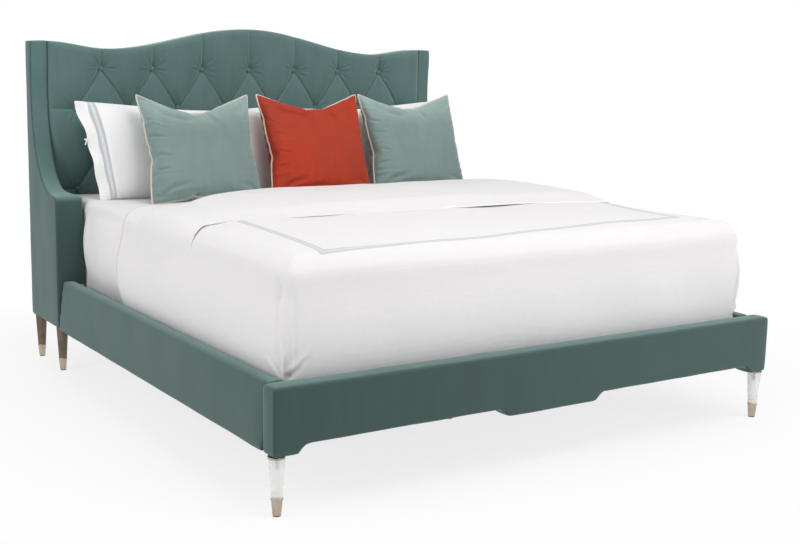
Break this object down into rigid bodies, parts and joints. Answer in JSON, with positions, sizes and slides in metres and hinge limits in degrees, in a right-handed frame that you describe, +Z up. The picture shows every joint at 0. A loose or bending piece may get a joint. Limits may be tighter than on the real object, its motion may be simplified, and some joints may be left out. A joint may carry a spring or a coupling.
{
  "type": "upholstered headboard bed",
  "caption": "Wing bed upholstered in teal velvet with a crowned, tufted headboard, clear tapered front legs, and a made-up mattress with pillows.",
  "frame": {"origin": "on the floor, in the middle of the bed's footprint", "axes": "+X across the bed towards the right side seen from the foot, +Y along the bed to the headboard, +Z up"},
  "size_m": [2.134, 2.346, 1.496],
  "materials": {
    "plywood": "matte",
    "velvet": "matte",
    "timber": "satin",
    "steel": "satin",
    "clear_acrylic": "polished",
    "bronze_leg": "satin",
    "olive_brass": "satin",
    "champagne_metal": "satin",
    "nylon": "matte",
    "ticking": "matte",
    "pocket_cloth": "matte",
    "white_cotton": "satin",
    "sage_velvet": "matte",
    "orange_velvet": "matte"
  },
  "bodies": {
    "frame": {"headboard_panel": "plywood", "headboard_back": "velvet", "headboard_stiles": "timber", "headboard_top_rail": "timber", "headboard_bottom_rail": "timber", "tufted_pad": "velvet", "tuft_buttons": "velvet", "left_wing_core": "timber", "right_wing_core": "timber", "left_wing_cover": "velvet", "right_wing_cover": "velvet", "wing_bolts": "steel", "foot_core": "timber", "foot_cover": "velvet", "left_rail_core": "timber", "right_rail_core": "timber", "left_rail_cover": "velvet", "right_rail_cover": "velvet", "left_ledger": "timber", "right_ledger": "timber", "ledger_screws": "steel", "rail_brackets": "steel", "bracket_bolts": "steel", "left_foot_leg": "clear_acrylic", "right_foot_leg": "clear_acrylic", "left_rear_leg": "bronze_leg", "right_rear_leg": "bronze_leg", "left_arm_leg": "bronze_leg", "right_arm_leg": "bronze_leg", "leg_collars": "olive_brass", "foot_ferrules": "champagne_metal", "head_ferrules": "champagne_metal", "leg_bolts": "steel", "leg_glides": "nylon", "slat_1": "timber", "slat_2": "timber", "slat_3": "timber", "slat_4": "timber", "slat_5": "timber", "slat_screws": "steel", "centre_legs": "timber"},
    "centre_glide_1": {"centre_glide_1": "nylon"},
    "centre_glide_2": {"centre_glide_2": "nylon"},
    "centre_glide_3": {"centre_glide_3": "nylon"},
    "centre_glide_4": {"centre_glide_4": "nylon"},
    "box_springs": {"left_box_spring": "ticking", "right_box_spring": "ticking", "box_spring_frames": "timber"},
    "bedding": {"mattress": "ticking", "mattress_springs": "pocket_cloth", "tucked_sheet": "white_cotton", "duvet": "white_cotton", "duvet_fold": "white_cotton", "left_sham": "white_cotton", "right_sham": "white_cotton", "sleeping_pillows": "white_cotton"},
    "left_throw_pillow": {"left_throw_pillow": "sage_velvet"},
    "centre_throw_pillow": {"centre_throw_pillow": "orange_velvet"},
    "right_throw_pillow": {"right_throw_pillow": "sage_velvet"}
  },
  "joints": [
    {"name": "level_1", "type": "slide", "parent": "frame", "child": "centre_glide_1", "axis": [0, 0, -1], "range_m": [0, 0.02]},
    {"name": "level_2", "type": "slide", "parent": "frame", "child": "centre_glide_2", "axis": [0, 0, -1], "range_m": [0, 0.02]},
    {"name": "level_3", "type": "slide", "parent": "frame", "child": "centre_glide_3", "axis": [0, 0, -1], "range_m": [0, 0.02]},
    {"name": "level_4", "type": "slide", "parent": "frame", "child": "centre_glide_4", "axis": [0, 0, -1], "range_m": [0, 0.02]},
    {"name": "lift_box_springs", "type": "slide", "parent": "frame", "child": "box_springs", "axis": [0, 0, 1], "range_m": [0, 0.25]},
    {"name": "lift_mattress", "type": "slide", "parent": "box_springs", "child": "bedding", "axis": [0, 0, 1], "range_m": [0, 0.3]},
    {"name": "lift_left_throw_pillow", "type": "slide", "parent": "bedding", "child": "left_throw_pillow", "axis": [0, 0, 1], "range_m": [0, 0.25]},
    {"name": "lift_centre_throw_pillow", "type": "slide", "parent": "bedding", "child": "centre_throw_pillow", "axis": [0, 0, 1], "range_m": [0, 0.25]},
    {"name": "lift_right_throw_pillow", "type": "slide", "parent": "bedding", "child": "right_throw_pillow", "axis": [0, 0, 1], "range_m": [0, 0.25]}
  ]
}
